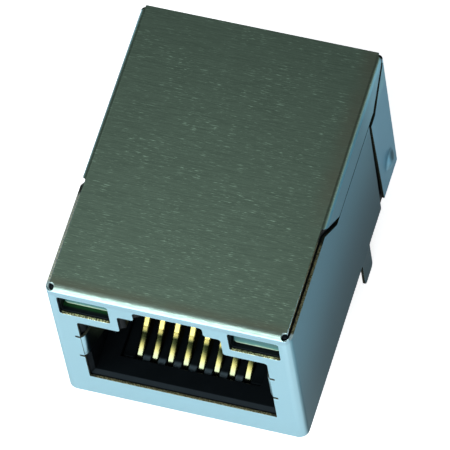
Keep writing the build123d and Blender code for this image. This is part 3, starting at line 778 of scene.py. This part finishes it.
class BOARDJACK_OT_lights(bpy.types.Operator):
    """Dress the indicator lights."""

    bl_idname = "board_jack.lights"
    bl_label = "Indicator lights"

    def execute(self, context):
        settings = context.scene.jack_light
        lens = lens_finish(settings)
        for side in ("left", "right"):
            bm = welded("led_" + side)
            soften(bm, settings.edge_round)
            made = piece_from(bm, "lens_" + side, lens)
            smooth(made)
            seat(made, "led_" + side)
        return {"FINISHED"}


# Pins, leads and the parts of the rear chamber

FINE_GRAIN = 0.1 * MM
BOARD_GRAIN = 0.3 * MM
DRAWN_GRAIN = (0.05 * MM, 0.05 * MM, 0.8 * MM)
WIRE_SIDES = 8
TURN_STEPS = 16


class InnerSettings(bpy.types.PropertyGroup):
    """Colours of the pins and of the parts in the rear chamber."""

    tin_colour: bpy.props.FloatVectorProperty(
        name="Tin", description="Bright tin on pins and leads", subtype="COLOR",
        default=(0.66, 0.68, 0.68))
    board_colour: bpy.props.FloatVectorProperty(
        name="Board", description="Solder mask of the inner board", subtype="COLOR",
        default=(0.03, 0.17, 0.07))
    ferrite_colour: bpy.props.FloatVectorProperty(
        name="Ferrite", description="Sintered cores", subtype="COLOR", default=(0.05, 0.05, 0.055))
    copper_colour: bpy.props.FloatVectorProperty(
        name="Winding", description="Enamelled wire", subtype="COLOR", default=(0.55, 0.19, 0.07))
    capacitor_colour: bpy.props.FloatVectorProperty(
        name="Capacitor", description="Coat of the capacitor", subtype="COLOR",
        default=(0.52, 0.36, 0.18))
    resistor_colour: bpy.props.FloatVectorProperty(
        name="Resistors", description="Glaze of the resistors", subtype="COLOR",
        default=(0.03, 0.03, 0.035))
    lead_round: bpy.props.FloatProperty(
        name="Lead rounding", description="Rounding of the leads' edges", default=0.05 * MM,
        unit="LENGTH")
    wire_width: bpy.props.FloatProperty(
        name="Wire", description="Thickness of the enamelled wire", default=0.20 * MM, unit="LENGTH")
    wire_gap: bpy.props.FloatProperty(
        name="Wire gap", description="Room between a core and the wire round it", default=0.03 * MM,
        unit="LENGTH")
    core_band: bpy.props.FloatProperty(
        name="Core band", description="Radial width of a core", default=0.525 * MM, unit="LENGTH")
    turns: bpy.props.IntProperty(name="Turns", description="Turns of each winding", default=10)
    wound_angle: bpy.props.FloatProperty(
        name="Wound angle", description="How far round its core a winding reaches", subtype="ANGLE",
        default=math.radians(250))


def grained_finish(name, colour, roughness, grain, metallic=0.0):
    """A plain finish with its own grain, in colour, gloss and relief."""
    made = Finish(name)
    pattern = made.noise(grain)
    darker, paler = [colour_of([min(1.0, share * c) for c in colour]) for share in (0.75, 1.25)]
    made.set(
        base_color=made.blend(pattern, darker, paler),
        metallic=metallic,
        roughness=made.ramp(pattern, 0.3, 0.7, roughness - 0.06, roughness + 0.06),
    )
    made.relief(pattern, 0.003 * MM, 0.5)
    return made.material


def coat(node, material):
    """Give a node of the model its finish."""
    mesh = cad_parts[node].data
    mesh.materials.clear()
    mesh.materials.append(material)


def wound_core(settings, number, material):
    """Wind separate turns of wire round a core: each is a ring, pulled out to the core's section."""
    core = [Vector(corner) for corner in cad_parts[f"ferrite_ring_{number}"].bound_box]
    low, high = core[0], core[6]
    centre = (low + high) / 2
    outer = (high.x - low.x) / 2
    tall = (high.z - low.z) / 2
    inner = outer - settings.core_band
    radius = settings.wire_width / 2
    half_step = math.tau / TURN_STEPS / 2
    bm = bmesh.new()
    for turn in range(settings.turns):
        loop = bmesh.ops.create_circle(bm, segments=WIRE_SIDES, radius=radius)["verts"]
        bmesh.ops.translate(bm, verts=loop, vec=(radius + settings.wire_gap, 0.0, 0.0))
        for tilt, axis in ((math.pi / 2, "X"), (half_step, "Y")):
            bmesh.ops.rotate(bm, verts=loop, cent=(0, 0, 0), matrix=Matrix.Rotation(tilt, 3, axis))
        before = set(bm.verts) - set(loop)
        edges = [edge for edge in bm.edges if edge.verts[0] in loop]
        bmesh.ops.spin(bm, geom=loop + edges, cent=(0, 0, 0), axis=(0, 1, 0), angle=math.tau,
                       steps=TURN_STEPS, use_merge=True)
        made = [vert for vert in bm.verts if vert not in before]
        for vert in made:
            vert.co.x += math.copysign((outer - inner) / 2, vert.co.x) + (outer + inner) / 2
            vert.co.z += math.copysign(tall, vert.co.z)
        angle = settings.wound_angle * (turn + 0.5) / settings.turns
        bmesh.ops.rotate(bm, verts=made, cent=(0, 0, 0), matrix=Matrix.Rotation(angle, 3, "Z"))
        bmesh.ops.translate(bm, verts=made, vec=centre)
    bmesh.ops.recalc_face_normals(bm, faces=bm.faces)
    made = piece_from(bm, f"wire_turns_{number}", material)
    smooth(made)
    seat(made, f"winding_{number}")


class BOARDJACK_OT_inner(bpy.types.Operator):
    """Finish the pins, the leads and the parts of the rear chamber."""

    bl_idname = "board_jack.inner"
    bl_label = "Pins and rear chamber"

    def execute(self, context):
        settings = context.scene.jack_inner
        tin = grained_finish("bright_tin", settings.tin_colour, 0.3, DRAWN_GRAIN, metallic=1.0)
        mask = grained_finish("solder_mask", settings.board_colour, 0.35, BOARD_GRAIN)
        ferrite = grained_finish("ferrite", settings.ferrite_colour, 0.6, FINE_GRAIN)
        dipped = grained_finish("capacitor_coat", settings.capacitor_colour, 0.3, FINE_GRAIN)
        glaze = grained_finish("resistor_glaze", settings.resistor_colour, 0.25, FINE_GRAIN)
        enamel = grained_finish("enamelled_wire", settings.copper_colour, 0.3, FINE_GRAIN)
        for start, material in (
            ("pin_", tin),
            ("circuit_board", mask),
            ("ferrite_ring_", ferrite),
            ("line_capacitor", dipped),
            ("resistor_", glaze),
        ):
            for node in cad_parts:
                if node.startswith(start):
                    coat(node, material)
        for number in range(1, 5):
            wound_core(settings, number, enamel)
        for number in range(1, 5):
            lead = f"led_lead_{number}"
            bm = welded(lead)
            soften(bm, settings.lead_round, sharpest=WIRE_TURN)
            made = piece_from(bm, f"bent_lead_{number}", tin)
            smooth(made)
            seat(made, lead)
        return {"FINISHED"}


# Floor, lamps and camera

# Each lamp's place, the point that it faces, its width and its height.
LAMPS = {
    "front_softbox": ((-0.091, -0.249, 0.147), (0.0, 0.0, 0.006), 0.50, 0.28),
    "top_softbox": ((-0.017, 0.0092, 0.078), (-0.004, -0.006, 0.013), 0.035, 0.03),
    "side_fill": ((0.26, 0.135, 0.075), (0.0, 0.0, 0.006), 0.20, 0.12),
}
FLOOR_REACH = 3.0
SENSOR_WIDTH = 36.0


class StageSettings(bpy.types.PropertyGroup):
    """Floor, lamps and camera."""

    floor_colour: bpy.props.FloatVectorProperty(
        name="Floor", description="Pale floor", subtype="COLOR", default=(0.86, 0.87, 0.88))
    floor_glow: bpy.props.FloatProperty(
        name="Floor glow", description="White that the floor adds where the camera or gloss sees it",
        default=0.80)
    gloss_share: bpy.props.FloatProperty(
        name="Glow in gloss", description="Share of the floor glow that metal and glass see",
        default=0.08)
    room_colour: bpy.props.FloatVectorProperty(
        name="Room colour", description="Tint of the even light of the room", subtype="COLOR",
        default=(0.86, 0.94, 1.0))
    world_strength: bpy.props.FloatProperty(
        name="Room", description="Strength of the even light of the room", default=0.15)
    lamp_colour: bpy.props.FloatVectorProperty(
        name="Lamps", description="Tint of the lamps", subtype="COLOR", default=(0.94, 0.98, 1.0))
    front_softbox: bpy.props.FloatProperty(
        name="Front softbox", description="Power of the low softbox in front", default=1.82,
        unit="POWER")
    top_softbox: bpy.props.FloatProperty(
        name="Top softbox", description="Power of the softbox above the rear", default=0.0041,
        unit="POWER")
    side_fill: bpy.props.FloatProperty(
        name="Fill", description="Power of the weak lamp behind the right side", default=0.10,
        unit="POWER")
    camera_place: bpy.props.FloatVectorProperty(
        name="Camera", description="Place of the camera", subtype="TRANSLATION",
        default=(81.27 * MM, -164.3 * MM, 325.47 * MM))
    camera_aim: bpy.props.FloatVectorProperty(
        name="Aim", description="Point that the camera looks at", subtype="TRANSLATION",
        default=(0.01 * MM, -0.38 * MM, 6.41 * MM))
    camera_roll: bpy.props.FloatProperty(
        name="Roll", description="Turn of the camera about its own line of sight", subtype="ANGLE",
        default=math.radians(-11.22))
    camera_lens: bpy.props.FloatProperty(
        name="Lens", description="Focal length for a sensor 36 mm wide", default=466.4)


def floor_finish(settings):
    """Pale floor that looks white, and keeps the shadow."""
    made = Finish("pale_floor")
    nodes = made.tree.nodes
    nodes.remove(made.shader)
    matt = made.add("ShaderNodeBsdfDiffuse")
    matt.inputs["Color"].default_value = colour_of(settings.floor_colour)
    path = made.add("ShaderNodeLightPath")
    gloss = made.sum("MAXIMUM", path.outputs["Is Glossy Ray"], path.outputs["Is Transmission Ray"])
    gloss = made.sum("MULTIPLY", gloss, settings.gloss_share)
    seen = made.sum("MAXIMUM", path.outputs["Is Camera Ray"], gloss)
    glow = made.add("ShaderNodeEmission")
    glow.inputs["Color"].default_value = colour_of(WHITE)
    made.feed(glow.inputs["Strength"], made.sum("MULTIPLY", seen, settings.floor_glow))
    both = made.add("ShaderNodeAddShader")
    made.feed(both.inputs[0], matt.outputs[0])
    made.feed(both.inputs[1], glow.outputs[0])
    clear = made.add("ShaderNodeBsdfTransparent")
    mix = made.add("ShaderNodeMixShader")
    made.feed(mix.inputs["Fac"], made.geometry.outputs["Backfacing"])
    made.feed(mix.inputs[1], both.outputs[0])
    made.feed(mix.inputs[2], clear.outputs[0])
    made.feed(nodes["Material Output"].inputs["Surface"], mix.outputs[0])
    return made.material


def aimed(location, aim, roll=0.0):
    """Return the matrix of a camera or a lamp at a place, that looks at a point."""
    line = Vector(aim) - Vector(location)
    turn = line.to_track_quat("-Z", "Y").to_matrix().to_4x4()
    return Matrix.Translation(location) @ turn @ Matrix.Rotation(roll, 4, "Z")


def softbox(name, place, aim, width, height, power, colour):
    """Hang a rectangular lamp at a place, that faces a point."""
    lamp = bpy.data.lights.new(name, "AREA")
    lamp.shape = "RECTANGLE"
    lamp.size = width
    lamp.size_y = height
    lamp.energy = power
    lamp.color = colour
    made = bpy.data.objects.new(name, lamp)
    made.matrix_world = aimed(place, aim)
    bpy.context.scene.collection.objects.link(made)


class BOARDJACK_OT_stage(bpy.types.Operator):
    """Set up the floor, the soft light and the camera."""

    bl_idname = "board_jack.stage"
    bl_label = "Floor, lamps and camera"

    def execute(self, context):
        settings = context.scene.jack_stage
        scene = context.scene
        scene.view_settings.view_transform = "Standard"
        bm = bmesh.new()
        bmesh.ops.create_grid(bm, x_segments=1, y_segments=1, size=FLOOR_REACH)
        bmesh.ops.translate(bm, verts=bm.verts, vec=(0.0, 0.0, cad_low.z))
        floor = piece_from(bm, "floor", floor_finish(settings))
        world = bpy.data.worlds.new("room")
        scene.world = world
        world.use_nodes = True
        air = world.node_tree.nodes["Background"]
        air.inputs["Color"].default_value = colour_of(settings.room_colour)
        air.inputs["Strength"].default_value = settings.world_strength
        for name, (place, aim, width, height) in LAMPS.items():
            softbox(name, place, aim, width, height, getattr(settings, name), settings.lamp_colour)
        camera = bpy.data.cameras.new("camera")
        camera.lens = settings.camera_lens
        camera.sensor_width = SENSOR_WIDTH
        camera.clip_start = 0.01
        camera.clip_end = 20.0
        holder = bpy.data.objects.new("camera", camera)
        holder.matrix_world = aimed(settings.camera_place, settings.camera_aim, settings.camera_roll)
        scene.collection.objects.link(holder)
        scene.camera = holder
        return {"FINISHED"}


# Panel and registration

STEPS = ("stage", "sheet", "plastics", "contacts", "lights", "inner")
SETTINGS = {
    "jack_sheet": SheetSettings,
    "jack_plastic": PlasticSettings,
    "jack_contact": ContactSettings,
    "jack_light": LightSettings,
    "jack_inner": InnerSettings,
    "jack_stage": StageSettings,
}


class BOARDJACK_PT_panel(bpy.types.Panel):
    """List the steps that dress the board jack, with their sizes and colours."""

    bl_idname = "BOARDJACK_PT_panel"
    bl_label = "Board jack"
    bl_space_type = "VIEW_3D"
    bl_region_type = "UI"
    bl_category = "Board jack"

    def draw(self, context):
        for step in STEPS:
            self.layout.operator("board_jack." + step)
        for name, kind in SETTINGS.items():
            box = self.layout.box()
            box.label(text=kind.__doc__)
            for setting in kind.__annotations__:
                box.prop(getattr(context.scene, name), setting)


CLASSES = tuple(SETTINGS.values()) + (
    BOARDJACK_OT_stage,
    BOARDJACK_OT_sheet,
    BOARDJACK_OT_plastics,
    BOARDJACK_OT_contacts,
    BOARDJACK_OT_lights,
    BOARDJACK_OT_inner,
    BOARDJACK_PT_panel,
)


def register():
    """Register the classes and hang their settings on the scene."""
    for kind in CLASSES:
        bpy.utils.register_class(kind)
    for name, kind in SETTINGS.items():
        setattr(bpy.types.Scene, name, bpy.props.PointerProperty(type=kind))


def unregister():
    """Take the settings off the scene and unregister the classes."""
    for name in SETTINGS:
        delattr(bpy.types.Scene, name)
    for kind in reversed(CLASSES):
        bpy.utils.unregister_class(kind)


def main():
    """Dress the whole jack."""
    register()
    for step in STEPS:
        getattr(bpy.ops.board_jack, step)()


if __name__ == "__main__":
    main()
